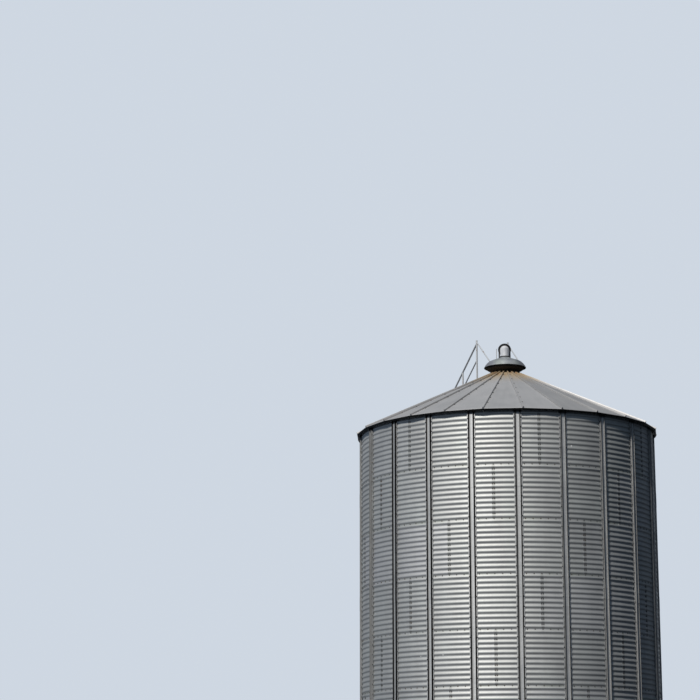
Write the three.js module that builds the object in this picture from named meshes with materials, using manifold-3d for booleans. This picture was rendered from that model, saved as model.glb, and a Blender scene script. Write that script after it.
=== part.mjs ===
// Grain silo: a round shell of corrugated galvanized sheets with outside stiffeners, a panelled cone
// roof, an inlet hood at the peak and a stair over the rear of the roof.
// Millimetres, +Z up, origin on the ground at the centre of the shell. The front stiffener is at -Y.
import * as THREE from 'three';
import { mergeVertices } from 'three/addons/utils/BufferGeometryUtils.js';
import Module from 'manifold-3d';

const wasm = await Module();
wasm.setup();

// Driving dimensions of the shell
const CORRUGATION_PITCH = 101.6;
const CORRUGATION_DEPTH = 12.7;
const SHEET_THICKNESS = 1.3;
const PITCHES_PER_RING = 11;
const RINGS = 9;
const BAY_WIDTH = 952.5;
const BAYS_PER_SHEET = 3;
const SHEETS_PER_RING = 7;

// Driving dimensions of the stiffeners
const STIFFENER_WIDTH = 168;
const STIFFENER_DEPTH = 30;
const STIFFENER_FLANGE = 26;
const STIFFENER_CROWN = 10;
const STIFFENER_VALLEY = 84;
const VALLEY_FLOOR_WIDTH = 74;
const VALLEY_FLOOR_OUT = 5;
const STIFFENER_STEEL = 3;
const STIFFENER_TOP_DROP = 42;

// Driving dimensions of the base ring
const BASE_LEG = 75;
const BASE_STEEL = 8;
const BASE_FLATS_PER_BAY = 4;

// Driving dimensions of the roof
const ROOF_PANELS = 25;
const PANELS_PER_SECTOR = 5;
const RIB_PHASE = THREE.MathUtils.degToRad(1.8);
const ROOF_SLOPE = THREE.MathUtils.degToRad(25);
const ROOF_STEEL = 5;
const EAVE_OVERHANG = 95;
const DRIP_LIP = 32;
const RIB_HEIGHT = 32;
const RIB_BASE = 34;
const RIB_CREST = 22;
const RIB_END_RADIUS = 290;

// Driving dimensions of the collar, the hood and the inlet
const COLLAR_RADIUS = 260;
const COLLAR_STEEL = 6;
const COLLAR_FLANGE = 80;
const COLLAR_CLEARANCE = 3;
const FLARE_RADIUS = 400;
const FLARE_TOP_Z = 11632;
const HOOD_RADIUS = 463;
const HOOD_RIM_Z = 11668;
const HOOD_SHOULDER = 265;
const HOOD_RIM_ANGLE = THREE.MathUtils.degToRad(70);
const HOOD_CROWN_ANGLE = THREE.MathUtils.degToRad(20);
const HOOD_STEEL = 5;
const HOOD_SEGMENTS = 48;
const HOOD_STEPS = 6;
const INLET_RADIUS = 100;
const INLET_STEEL = 4;
const INLET_BEND_Z = 12060;
const INLET_FOOT = 30;
const BORE_OVERRUN = 20;
const PIPE_SIDES = 32;
const SPOUT_PITCH = THREE.MathUtils.degToRad(29.5);
const SPIGOT_LENGTH = 95;
const CLAMP_RADIUS = 143;
const CLAMP_WIDTH = 30;
const CLAMP_LEG_OFFSET = 118;
const CLAMP_LEG_WIDTH = 30;
const CLAMP_LEG_DEPTH = 40;

// Driving dimensions of the roof stair and its handrails
const STAIR_PANEL = 13;
const STAIR_WIDTH = 740;
const STAIR_TOP_RADIUS = 640;
const STAIR_FOOT_RADIUS = 3230;
const STRINGER_HEIGHT = 70;
const STRINGER_STEEL = 8;
const TREAD_DEPTH = 90;
const TREAD_STEEL = 20;
const TREADS = 9;
const TREAD_MARGIN = 120;
const RAIL_DIAMETER = 38;
const MID_RAIL_DIAMETER = 30;
const TUBE_SIDES = 8;
const TOP_RAIL_HEIGHT = 1080;
const MID_RAIL_HEIGHT = 700;
const HEAD_POST_HEIGHT = 1160;
const POST_RADII = [800, 1770, 2740];
const RAIL_OVERRUN = 150;
const STAY_DIAMETER = 26;
const STAY_SEAT = 355;

// Running gap between pieces that touch
const GAP = 0.3;

// Values worked out from the dimensions above
const BAYS = BAYS_PER_SHEET * SHEETS_PER_RING;
const WALL_RADIUS = (BAYS * BAY_WIDTH) / (2 * Math.PI);
const WALL_THICKNESS = CORRUGATION_DEPTH + SHEET_THICKNESS;
const WALL_HEIGHT = (RINGS * PITCHES_PER_RING + 1) * CORRUGATION_PITCH;
const WALL_OUTER = WALL_RADIUS + WALL_THICKNESS / 2;
const WALL_INNER = WALL_RADIUS - WALL_THICKNESS / 2;
const BAY_ANGLE = (2 * Math.PI) / BAYS;
const FACETS_PER_BAY = 5;
const FACET_ANGLE = BAY_ANGLE / FACETS_PER_BAY;
const WALL_FLAT = WALL_OUTER * Math.cos(FACET_ANGLE / 2);
const PANEL_ANGLE = (2 * Math.PI) / ROOF_PANELS;
const EAVE_RADIUS = WALL_OUTER + EAVE_OVERHANG;
const SLOPE = Math.tan(ROOF_SLOPE);
const ROOF_SLOPE_FLAT = Math.atan(SLOPE / Math.cos(PANEL_ANGLE / 2));
const FRONT = -Math.PI / 2;

// Finishes
function finish(color, roughness, metalness) {
  return new THREE.MeshStandardMaterial({ color, roughness, metalness });
}
const sheetSteel = () => finish(0x9b9fa2, 0.45, 0.85);
const stiffenerSteel = () => finish(0x8d9194, 0.5, 0.8);
const roofSteel = () => finish(0x8f8d8b, 0.6, 0.6);
const rustySteel = () => finish(0x5d4a38, 0.8, 0.3);
const paleSteel = () => finish(0xc9cdd2, 0.45, 0.7);
const darkSteel = () => finish(0x2c2d30, 0.6, 0.5);

const silo = new THREE.Group();

function add(name, geometry, material) {
  geometry.computeVertexNormals();
  const mesh = new THREE.Mesh(geometry, material);
  mesh.name = name;
  silo.add(mesh);
  return mesh;
}

// A closed mesh as a solid that can be joined and cut
function solid(geometry) {
  const bare = geometry.clone();
  bare.deleteAttribute('normal');
  bare.deleteAttribute('uv');
  const merged = mergeVertices(bare, 1e-3);
  const mesh = new wasm.Mesh({
    numProp: 3,
    vertProperties: new Float32Array(merged.attributes.position.array),
    triVerts: new Uint32Array(merged.index.array),
  });
  return new wasm.Manifold(mesh);
}

function geometryOf(manifold) {
  const mesh = manifold.getMesh();
  const geometry = new THREE.BufferGeometry();
  geometry.setAttribute('position', new THREE.BufferAttribute(new Float32Array(mesh.vertProperties), 3));
  geometry.setIndex(new THREE.BufferAttribute(new Uint32Array(mesh.triVerts), 1));
  return geometry;
}

const join = (solids) => solids.reduce((whole, next) => whole.add(next));

// A point in plan: angle 0 is the front stiffener's line and grows towards +X
const plan = (radius, angle) => new THREE.Vector2(
  radius * Math.cos(FRONT + angle),
  radius * Math.sin(FRONT + angle),
);

function extrude(outline, depth) {
  return new THREE.ExtrudeGeometry(new THREE.Shape(outline), { depth, bevelEnabled: false });
}

// A closed ring turned about the Z axis from a profile of [radius, height] points, one flat per segment
function turned(profile, segments, phase) {
  const points = [...profile, profile[0]].map(([radius, height]) => new THREE.Vector2(radius, height));
  const geometry = new THREE.LatheGeometry(points, segments);
  geometry.rotateX(Math.PI / 2);
  geometry.rotateZ(phase);
  return geometry;
}

// A straight bar of a given outline from one point to another, its section's x axis kept level
function bar(outline, from, to) {
  const along = new THREE.Vector3().subVectors(to, from);
  const length = along.length();
  const z = along.normalize();
  const up = Math.abs(z.z) > 0.999 ? new THREE.Vector3(0, 1, 0) : new THREE.Vector3(0, 0, 1);
  const x = new THREE.Vector3().crossVectors(up, z).normalize();
  const y = new THREE.Vector3().crossVectors(z, x);
  const geometry = extrude(outline, length);
  geometry.applyMatrix4(new THREE.Matrix4().makeBasis(x, y, z).setPosition(from));
  return geometry;
}

const circle = (radius, sides) => Array.from({ length: sides }, (_, i) => new THREE.Vector2(
  radius * Math.cos((2 * Math.PI * i) / sides),
  radius * Math.sin((2 * Math.PI * i) / sides),
));

const rectangle = (width, height) => [
  new THREE.Vector2(-width / 2, -height / 2),
  new THREE.Vector2(width / 2, -height / 2),
  new THREE.Vector2(width / 2, height / 2),
  new THREE.Vector2(-width / 2, height / 2),
];

// Wall: seven upright strips, each three bays wide, that meet at the middle of a bay
const STRIP_ANGLE = BAYS_PER_SHEET * BAY_ANGLE;
for (let strip = 0; strip < SHEETS_PER_RING; strip += 1) {
  const start = strip * STRIP_ANGLE - BAY_ANGLE / 2;
  const facets = BAYS_PER_SHEET * FACETS_PER_BAY;
  const angles = Array.from({ length: facets + 1 }, (_, i) => start + i * FACET_ANGLE);
  angles[0] += GAP / 2 / WALL_RADIUS;
  angles[facets] -= GAP / 2 / WALL_RADIUS;
  const outline = [
    ...angles.map((angle) => plan(WALL_OUTER, angle)),
    ...angles.reverse().map((angle) => plan(WALL_INNER, angle)),
  ];
  add(`wall_strip_${strip + 1}`, extrude(outline, WALL_HEIGHT), sheetSteel());
}

// Stiffeners: one upright of folded steel on each bay line, with two narrow ridges and a flat valley
// between them, its flanges flat on the wall
function stiffenerOutline() {
  const half = STIFFENER_WIDTH / 2;
  const valley = STIFFENER_VALLEY / 2;
  const crownOut = valley + STIFFENER_CROWN;
  const flangeIn = half - STIFFENER_FLANGE;
  const floor = VALLEY_FLOOR_WIDTH / 2;
  const front = [
    [-half, STIFFENER_STEEL],
    [-flangeIn, STIFFENER_STEEL],
    [-crownOut, STIFFENER_DEPTH],
    [-valley, STIFFENER_DEPTH],
    [-floor, VALLEY_FLOOR_OUT],
    [floor, VALLEY_FLOOR_OUT],
    [valley, STIFFENER_DEPTH],
    [crownOut, STIFFENER_DEPTH],
    [flangeIn, STIFFENER_STEEL],
    [half, STIFFENER_STEEL],
  ];
  const back = [
    [half, 0],
    [flangeIn - STIFFENER_STEEL, 0],
    [crownOut - STIFFENER_STEEL, STIFFENER_DEPTH - STIFFENER_STEEL],
    [valley + STIFFENER_STEEL, STIFFENER_DEPTH - STIFFENER_STEEL],
    [floor + STIFFENER_STEEL, VALLEY_FLOOR_OUT - STIFFENER_STEEL],
    [-floor - STIFFENER_STEEL, VALLEY_FLOOR_OUT - STIFFENER_STEEL],
    [-valley - STIFFENER_STEEL, STIFFENER_DEPTH - STIFFENER_STEEL],
    [-crownOut + STIFFENER_STEEL, STIFFENER_DEPTH - STIFFENER_STEEL],
    [-flangeIn + STIFFENER_STEEL, 0],
    [-half, 0],
  ];
  return [...front, ...back].map(([x, out]) => new THREE.Vector2(x, -out));
}
for (let bay = 0; bay < BAYS; bay += 1) {
  const geometry = extrude(stiffenerOutline(), WALL_HEIGHT - STIFFENER_TOP_DROP);
  geometry.translate(0, -(WALL_FLAT + GAP), 0);
  geometry.rotateZ(bay * BAY_ANGLE);
  add(`stiffener_${String(bay + 1).padStart(2, '0')}`, geometry, stiffenerSteel());
}

// Base ring: a rolled angle inside the wall's foot
const baseOuter = WALL_INNER * Math.cos(FACET_ANGLE / 2) - GAP;
const baseRing = turned([
  [baseOuter, 0],
  [baseOuter, BASE_LEG],
  [baseOuter - BASE_STEEL, BASE_LEG],
  [baseOuter - BASE_STEEL, BASE_STEEL],
  [baseOuter - BASE_LEG, BASE_STEEL],
  [baseOuter - BASE_LEG, 0],
], BAYS * BASE_FLATS_PER_BAY, 0);
add('base_ring', baseRing, stiffenerSteel());

// Roof: flat panels around a cone with a standing rib along one edge of each and a drip lip at the eave
const panelFall = (WALL_OUTER / Math.cos(PANEL_ANGLE / 2) - WALL_OUTER) * SLOPE;
const roofUnder = (radius) => WALL_HEIGHT + GAP + panelFall + (WALL_OUTER - radius) * SLOPE;
const roofTop = (radius) => roofUnder(radius) + ROOF_STEEL / Math.cos(ROOF_SLOPE);
const roofInner = COLLAR_RADIUS + COLLAR_STEEL;
const roofCone = solid(turned([
  [EAVE_RADIUS, roofTop(EAVE_RADIUS)],
  [roofInner, roofTop(roofInner)],
  [roofInner, roofUnder(roofInner)],
  [EAVE_RADIUS - ROOF_STEEL, roofUnder(EAVE_RADIUS - ROOF_STEEL)],
  [EAVE_RADIUS - ROOF_STEEL, roofUnder(EAVE_RADIUS) - DRIP_LIP],
  [EAVE_RADIUS, roofUnder(EAVE_RADIUS) - DRIP_LIP],
], ROOF_PANELS, RIB_PHASE));

// A rib stands on its own panel with one face on the panel's edge
function rib(panel) {
  const angle = RIB_PHASE + panel * PANEL_ANGLE;
  const embed = ROOF_STEEL / 2;
  const outline = [
    [-RIB_BASE, -embed],
    [0, -embed],
    [(RIB_CREST - RIB_BASE) / 2, RIB_HEIGHT],
    [(-RIB_CREST - RIB_BASE) / 2, RIB_HEIGHT],
  ].map(([x, y]) => new THREE.Vector2(x, y));
  const corner = (radius) => {
    const edge = plan(radius, angle);
    return new THREE.Vector3(edge.x, edge.y, roofTop(radius));
  };
  const from = corner(EAVE_RADIUS);
  const to = corner(RIB_END_RADIUS);
  const along = new THREE.Vector3().subVectors(to, from);
  const length = along.length();
  const outward = plan(Math.sin(ROOF_SLOPE_FLAT), angle + PANEL_ANGLE / 2);
  const z = along.normalize();
  const y = new THREE.Vector3(outward.x, outward.y, Math.cos(ROOF_SLOPE_FLAT));
  const x = new THREE.Vector3().crossVectors(y, z);
  const geometry = extrude(outline, length);
  geometry.applyMatrix4(new THREE.Matrix4().makeBasis(x, y, z).setPosition(from));
  return solid(geometry);
}

const SECTORS = ROOF_PANELS / PANELS_PER_SECTOR;
for (let sector = 0; sector < SECTORS; sector += 1) {
  const first = sector * PANELS_PER_SECTOR;
  const start = RIB_PHASE + first * PANEL_ANGLE;
  const spread = PANELS_PER_SECTOR * PANEL_ANGLE;
  const reach = 2 * EAVE_RADIUS;
  const shift = plan(GAP, start + spread / 2);
  const wedge = extrude([
    shift,
    plan(reach, start).add(shift),
    plan(reach, start + spread / 2).add(shift),
    plan(reach, start + spread).add(shift),
  ], 2 * WALL_HEIGHT);
  const ribs = Array.from({ length: PANELS_PER_SECTOR }, (_, i) => rib(first + i));
  const wedged = solid(wedge);
  const panels = roofCone.intersect(wedged).add(join(ribs).intersect(wedged));
  add(`roof_sector_${sector + 1}`, geometryOf(panels), roofSteel());
}

// Hood: a lid with a round shoulder above its rim, then a shallow cone up to a hole for the inlet
const { sin, cos } = Math;
const crownRadius = HOOD_RADIUS - HOOD_SHOULDER * (sin(HOOD_RIM_ANGLE) - sin(HOOD_CROWN_ANGLE));
const crownZ = HOOD_RIM_Z + HOOD_SHOULDER * (cos(HOOD_CROWN_ANGLE) - cos(HOOD_RIM_ANGLE));
const hoodHole = INLET_RADIUS + GAP;
function hoodTop(radius) {
  if (radius < crownRadius) return crownZ + (crownRadius - radius) * Math.tan(HOOD_CROWN_ANGLE);
  const angle = Math.asin(sin(HOOD_RIM_ANGLE) - (HOOD_RADIUS - radius) / HOOD_SHOULDER);
  return HOOD_RIM_Z + HOOD_SHOULDER * (cos(angle) - cos(HOOD_RIM_ANGLE));
}

// The hood's outline from its rim to its hole, moved out from the top face by an offset
function hoodSkin(offset) {
  const shoulder = Array.from({ length: HOOD_STEPS + 1 }, (_, i) => {
    const angle = THREE.MathUtils.lerp(HOOD_RIM_ANGLE, HOOD_CROWN_ANGLE, i / HOOD_STEPS);
    return [
      HOOD_RADIUS - HOOD_SHOULDER * (sin(HOOD_RIM_ANGLE) - sin(angle)) + offset * sin(angle),
      HOOD_RIM_Z + HOOD_SHOULDER * (cos(angle) - cos(HOOD_RIM_ANGLE)) + offset * cos(angle),
    ];
  });
  return [...shoulder, [hoodHole, hoodTop(hoodHole) + offset / cos(HOOD_CROWN_ANGLE)]];
}
add('hood', turned([...hoodSkin(0), ...hoodSkin(-HOOD_STEEL).reverse()], HOOD_SEGMENTS, 0), paleSteel());

// The space over the hood's seat and the space under its top face, to cut what meets the hood
const overSeat = solid(turned([
  ...hoodSkin(-HOOD_STEEL - GAP).reverse(),
  [HOOD_RADIUS, HOOD_RIM_Z + HOOD_RADIUS],
  [hoodHole, HOOD_RIM_Z + HOOD_RADIUS],
], HOOD_SEGMENTS, 0));
const underHood = solid(turned([
  ...hoodSkin(GAP),
  [hoodHole, HOOD_RIM_Z - HOOD_RADIUS],
  [HOOD_RADIUS, HOOD_RIM_Z - HOOD_RADIUS],
], HOOD_SEGMENTS, 0));

// Collar: a flange under the roof panels' upper ends, a throat between them and a flare that opens
// out over the ribs into an upright ring, which carries the hood
const flangeOuter = COLLAR_RADIUS + COLLAR_FLANGE;
const flangeTop = (radius) => roofUnder(radius) - GAP / cos(ROOF_SLOPE);
const throatTop = roofTop(roofInner) + COLLAR_CLEARANCE;
const collar = solid(turned([
  [flangeOuter, flangeTop(flangeOuter) - COLLAR_STEEL],
  [flangeOuter, flangeTop(flangeOuter)],
  [COLLAR_RADIUS, flangeTop(COLLAR_RADIUS)],
  [COLLAR_RADIUS, throatTop],
  [FLARE_RADIUS, FLARE_TOP_Z],
  [FLARE_RADIUS, hoodTop(FLARE_RADIUS)],
  [FLARE_RADIUS - COLLAR_STEEL, hoodTop(FLARE_RADIUS)],
  [FLARE_RADIUS - COLLAR_STEEL, FLARE_TOP_Z + COLLAR_STEEL / 2],
  [COLLAR_RADIUS - COLLAR_STEEL, throatTop + COLLAR_STEEL / 2],
  [COLLAR_RADIUS - COLLAR_STEEL, flangeTop(COLLAR_RADIUS) - COLLAR_STEEL],
], ROOF_PANELS, RIB_PHASE));
add('roof_collar', geometryOf(collar.subtract(overSeat)), rustySteel());

// Inlet: an upright pipe through the hood, mitred to a short spigot that slopes up towards the rear
const bend = new THREE.Vector3(0, 0, INLET_BEND_Z);
const spoutAxis = new THREE.Vector3(0, Math.cos(SPOUT_PITCH), Math.sin(SPOUT_PITCH));
const mitreNormal = new THREE.Vector3(0, 0, 1).add(spoutAxis).normalize();
const LONG = 4 * INLET_RADIUS;
const MITRE_OVERLAP = 0.5;

// The space on one side of the mitre's plane, with a small overlap so that both pipes fuse there
function halfSpace(side) {
  const near = bend.clone().addScaledVector(mitreNormal, -side * MITRE_OVERLAP);
  const far = bend.clone().addScaledVector(mitreNormal, side * 2 * LONG);
  return solid(bar(rectangle(2 * LONG, 2 * LONG), near, far));
}
function mitredPipe(radius, extra) {
  const foot = new THREE.Vector3(0, 0, hoodTop(hoodHole) - INLET_FOOT - extra);
  const above = new THREE.Vector3(0, 0, INLET_BEND_Z + LONG);
  const below = bend.clone().addScaledVector(spoutAxis, -LONG);
  const mouth = bend.clone().addScaledVector(spoutAxis, SPIGOT_LENGTH + extra);
  const upright = solid(bar(circle(radius, PIPE_SIDES), foot, above)).intersect(halfSpace(-1));
  const spigot = solid(bar(circle(radius, PIPE_SIDES), below, mouth)).intersect(halfSpace(1));
  return upright.add(spigot);
}
const inlet = mitredPipe(INLET_RADIUS, 0).subtract(mitredPipe(INLET_RADIUS - INLET_STEEL, BORE_OVERRUN));
add('inlet_elbow', geometryOf(inlet), paleSteel());

// Clamp ring: a dark band round the mouth of the spigot, with a leg down to the hood on each side
const clampFrom = bend.clone().addScaledVector(spoutAxis, SPIGOT_LENGTH - CLAMP_WIDTH);
const clampTo = bend.clone().addScaledVector(spoutAxis, SPIGOT_LENGTH);
const band = solid(bar(circle(CLAMP_RADIUS, PIPE_SIDES), clampFrom, clampTo));
const bandHole = solid(bar(circle(INLET_RADIUS + GAP, PIPE_SIDES),
  clampFrom.clone().addScaledVector(spoutAxis, -CLAMP_WIDTH),
  clampTo.clone().addScaledVector(spoutAxis, CLAMP_WIDTH)));
const clampMid = clampFrom.clone().lerp(clampTo, 0.5);
const clampLegs = [-1, 1].map((side) => solid(bar(
  rectangle(CLAMP_LEG_WIDTH, CLAMP_LEG_DEPTH),
  new THREE.Vector3(side * CLAMP_LEG_OFFSET, clampMid.y, HOOD_RIM_Z),
  new THREE.Vector3(side * CLAMP_LEG_OFFSET, clampMid.y, clampMid.z),
)).subtract(underHood));
add('clamp_ring', geometryOf(join([band.subtract(bandHole), ...clampLegs])), darkSteel());

// Roof stair: two stringers with treads between, laid on the ribs of the panel at the rear
const stairAngle = RIB_PHASE + (STAIR_PANEL + 0.5) * PANEL_ANGLE;
const stairOut = plan(1, stairAngle);
const stairSide = new THREE.Vector2(-stairOut.y, stairOut.x);
const panelFlat = (radius) => roofTop(radius / Math.cos(PANEL_ANGLE / 2));
function onStair(radius, side, above) {
  return new THREE.Vector3(
    stairOut.x * radius + stairSide.x * side,
    stairOut.y * radius + stairSide.y * side,
    panelFlat(radius) + above,
  );
}
const stairLift = (RIB_HEIGHT + GAP) / Math.cos(ROOF_SLOPE_FLAT);
const stringerMid = stairLift + STRINGER_HEIGHT / 2 / Math.cos(ROOF_SLOPE_FLAT);
const stairSolids = [];
for (const side of [-1, 1]) {
  const offset = side * (STAIR_WIDTH / 2);
  stairSolids.push(solid(bar(
    rectangle(STRINGER_STEEL, STRINGER_HEIGHT),
    onStair(STAIR_FOOT_RADIUS, offset, stringerMid),
    onStair(STAIR_TOP_RADIUS, offset, stringerMid),
  )));
}
const lowestTread = STAIR_FOOT_RADIUS - TREAD_MARGIN;
const highestTread = STAIR_TOP_RADIUS + TREAD_MARGIN;
for (let i = 0; i < TREADS; i += 1) {
  const radius = THREE.MathUtils.lerp(lowestTread, highestTread, i / (TREADS - 1));
  stairSolids.push(solid(bar(
    rectangle(TREAD_DEPTH, TREAD_STEEL),
    onStair(radius, -STAIR_WIDTH / 2, stringerMid),
    onStair(radius, STAIR_WIDTH / 2, stringerMid),
  )));
}
add('roof_stair', geometryOf(join(stairSolids)), stiffenerSteel());

// Handrails: three posts, a top rail and a middle rail on each side of the stair
const postFoot = stairLift + STRINGER_HEIGHT / Math.cos(ROOF_SLOPE_FLAT);
const sides = { left: 1, right: -1 };
for (const [name, side] of Object.entries(sides)) {
  const offset = side * (STAIR_WIDTH / 2);
  const round = circle(RAIL_DIAMETER / 2, TUBE_SIDES);
  const slim = circle(MID_RAIL_DIAMETER / 2, TUBE_SIDES);
  const footLift = (RAIL_DIAMETER / 2) * Math.tan(ROOF_SLOPE_FLAT) + GAP;
  const posts = POST_RADII.map((radius, i) => solid(bar(
    round,
    onStair(radius, offset, postFoot + footLift),
    onStair(radius, offset, i === 0 ? HEAD_POST_HEIGHT : TOP_RAIL_HEIGHT),
  )));
  const first = POST_RADII[0];
  const last = POST_RADII[POST_RADII.length - 1] + RAIL_OVERRUN;
  const rails = [
    solid(bar(round, onStair(last, offset, TOP_RAIL_HEIGHT), onStair(first, offset, TOP_RAIL_HEIGHT))),
    solid(bar(slim, onStair(last, offset, MID_RAIL_HEIGHT), onStair(first, offset, MID_RAIL_HEIGHT))),
  ];
  add(`${name}_handrail`, geometryOf(join([...posts, ...rails])), stiffenerSteel());
}

// Stays: a thin rod from the head of each first post down to the hood, cut to fit both
for (const [name, side] of Object.entries(sides)) {
  const offset = side * (STAIR_WIDTH / 2);
  const seat = stairSide.clone().multiplyScalar(side * STAY_SEAT);
  const head = onStair(POST_RADII[0], offset, HEAD_POST_HEIGHT - RAIL_DIAMETER);
  const foot = new THREE.Vector3(seat.x, seat.y, hoodTop(STAY_SEAT) - STAY_DIAMETER);
  const post = solid(bar(
    circle(RAIL_DIAMETER / 2 + GAP, TUBE_SIDES),
    onStair(POST_RADII[0], offset, 0),
    onStair(POST_RADII[0], offset, HEAD_POST_HEIGHT + RAIL_DIAMETER),
  ));
  const rod = solid(bar(circle(STAY_DIAMETER / 2, TUBE_SIDES), foot, head));
  add(`${name}_stay`, geometryOf(rod.subtract(post).subtract(underHood)), paleSteel());
}

export default silo;
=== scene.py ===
import math

import bpy
import numpy as np
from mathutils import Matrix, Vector


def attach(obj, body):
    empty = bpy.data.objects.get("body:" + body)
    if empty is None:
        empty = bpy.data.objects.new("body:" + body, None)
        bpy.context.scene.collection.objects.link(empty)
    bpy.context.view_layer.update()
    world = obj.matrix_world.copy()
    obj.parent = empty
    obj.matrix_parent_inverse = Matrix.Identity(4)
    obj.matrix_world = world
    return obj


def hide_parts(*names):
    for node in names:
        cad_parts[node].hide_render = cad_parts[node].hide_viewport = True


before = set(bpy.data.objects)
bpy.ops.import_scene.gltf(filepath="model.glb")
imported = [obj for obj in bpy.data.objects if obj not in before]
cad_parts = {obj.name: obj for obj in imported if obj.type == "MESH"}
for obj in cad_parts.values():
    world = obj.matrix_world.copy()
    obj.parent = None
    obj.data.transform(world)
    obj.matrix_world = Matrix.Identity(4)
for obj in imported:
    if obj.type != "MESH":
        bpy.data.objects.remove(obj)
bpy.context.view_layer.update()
scene = bpy.context.scene

# Camera. It stands at eye height on level ground, 46 m from the silo and a little left of its
# front stiffener, and is tilted up at the roof with a long lens.
CAMERA_PLACE = (-3.353, -45.878, 1.735)
CAMERA_LENS = 109.24
CAMERA_TILT = math.radians(90 + 12.709)
CAMERA_TURN = math.radians(0.09)
camera = bpy.data.objects.new("camera", bpy.data.cameras.new("camera"))
camera.data.lens = CAMERA_LENS
camera.data.sensor_width = 36
camera.data.clip_end = 500
camera.location = CAMERA_PLACE
camera.rotation_euler = (CAMERA_TILT, 0, CAMERA_TURN)
scene.collection.objects.link(camera)
scene.camera = camera

# Studio. A wide plain floor, a soft key light from the upper left and a pale room that is brighter
# overhead than at the floor.
SUN_TURN = math.radians(-31)
SUN_RISE = math.radians(50)
SUN_STRENGTH = 3.45
SUN_SPREAD = math.radians(5)
SUN_COLOUR = (1.0, 0.955, 0.88)
FLOOR_REACH = 300
FLOOR_COLOUR = (0.62, 0.62, 0.62, 1)
BACKDROP_COLOUR = (0.62, 0.68, 0.76, 1)


class Signal:
    """One socket of a shader tree. Sums, products and quotients of signals add Math nodes."""

    def __init__(self, tree, socket=None):
        self.tree = tree
        self.socket = socket

    def node(self, kind, settings, sockets, output=0):
        made = self.tree.nodes.new(kind)
        for name, value in settings.items():
            setattr(made, name, value)
        for name, value in sockets.items():
            if isinstance(value, Signal):
                self.tree.links.new(value.socket, made.inputs[name])
            else:
                made.inputs[name].default_value = value
        return Signal(self.tree, made.outputs[output])

    def math(self, operation, *values):
        return self.node("ShaderNodeMath", {"operation": operation}, dict(enumerate(values)))

    def __add__(self, other):
        return self.math("ADD", self, other)

    def __radd__(self, other):
        return self.math("ADD", other, self)

    def __sub__(self, other):
        return self.math("SUBTRACT", self, other)

    def __rsub__(self, other):
        return self.math("SUBTRACT", other, self)

    def __mul__(self, other):
        return self.math("MULTIPLY", self, other)

    def __truediv__(self, other):
        return self.math("DIVIDE", self, other)

    def __mod__(self, other):
        return self.math("FLOORED_MODULO", self, other)


def ramp(value, low, high, start=0.0, end=1.0):
    """A smooth step from start to end as the value goes from low to high."""
    return value.node("ShaderNodeMapRange", {"interpolation_type": "SMOOTHSTEP"}, {
        "Value": value, "From Min": low, "From Max": high, "To Min": start, "To Max": end})


def blend(factor, first, second):
    """The first colour where the factor is 0 and the second where it is 1."""
    return factor.node("ShaderNodeMix", {"data_type": "RGBA"}, {0: factor, 6: first, 7: second}, 2)


floor_finish = bpy.data.materials.new("floor_finish")
floor_finish.use_nodes = True
floor_shader = floor_finish.node_tree.nodes["Principled BSDF"]
floor_shader.inputs["Base Color"].default_value = FLOOR_COLOUR
floor_shader.inputs["Roughness"].default_value = 0.9
floor_mesh = bpy.data.meshes.new("studio_floor")
floor_corners = [(x * FLOOR_REACH, y * FLOOR_REACH, 0) for x, y in ((-1, -1), (1, -1), (1, 1), (-1, 1))]
floor_mesh.from_pydata(floor_corners, [], [(0, 1, 2, 3)])
floor_mesh.materials.append(floor_finish)
floor = bpy.data.objects.new("studio_floor", floor_mesh)
scene.collection.objects.link(floor)
floor.visible_glossy = False
floor.visible_diffuse = False

sun = bpy.data.objects.new("key_light", bpy.data.lights.new("key_light", "SUN"))
sun.data.energy = SUN_STRENGTH
sun.data.angle = SUN_SPREAD
sun.data.color = SUN_COLOUR
towards_sun = Vector((math.sin(SUN_TURN) * math.cos(SUN_RISE), -math.cos(SUN_TURN) * math.cos(SUN_RISE),
                      math.sin(SUN_RISE)))
sun.rotation_euler = towards_sun.to_track_quat("Z", "Y").to_euler()
scene.collection.objects.link(sun)

world = bpy.data.worlds.new("studio_room")
world.use_nodes = True
scene.world = world
room = Signal(world.node_tree)
look = room.node("ShaderNodeTexCoord", {}, {}, "Generated")
look_x = look.node("ShaderNodeSeparateXYZ", {}, {0: look}, "X")
look_y = look.node("ShaderNodeSeparateXYZ", {}, {0: look}, "Y")
look_z = look.node("ShaderNodeSeparateXYZ", {}, {0: look}, "Z")
# The room is brighter to the left, overhead and behind the silo, and nearly dark below the horizon.
lit_side = look_x * -0.483 + look_y * -0.13 + 0.5
sides = blend(lit_side, (0.010, 0.014, 0.020, 1), (0.135, 0.17, 0.22, 1))
rear = blend(ramp(look_y * 0.96 + look_x * 0.18, 0.72, 0.97), sides, (0.36, 0.38, 0.405, 1))
above = blend(lit_side, (0.078, 0.104, 0.140, 1), (0.21, 0.295, 0.405, 1))
overhead = blend(ramp(look_z, 0.20, 0.80), rear, above)
lighting = blend(ramp(look_z, -0.66, -0.34), (0.02, 0.02, 0.019, 1), overhead)
seen = room.node("ShaderNodeLightPath", {}, {}, "Is Camera Ray")
background = world.node_tree.nodes["Background"]
world.node_tree.links.new(blend(seen, lighting, BACKDROP_COLOUR).socket, background.inputs["Color"])
background.inputs["Strength"].default_value = 1.0
scene.view_settings.view_transform = "Standard"

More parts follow.
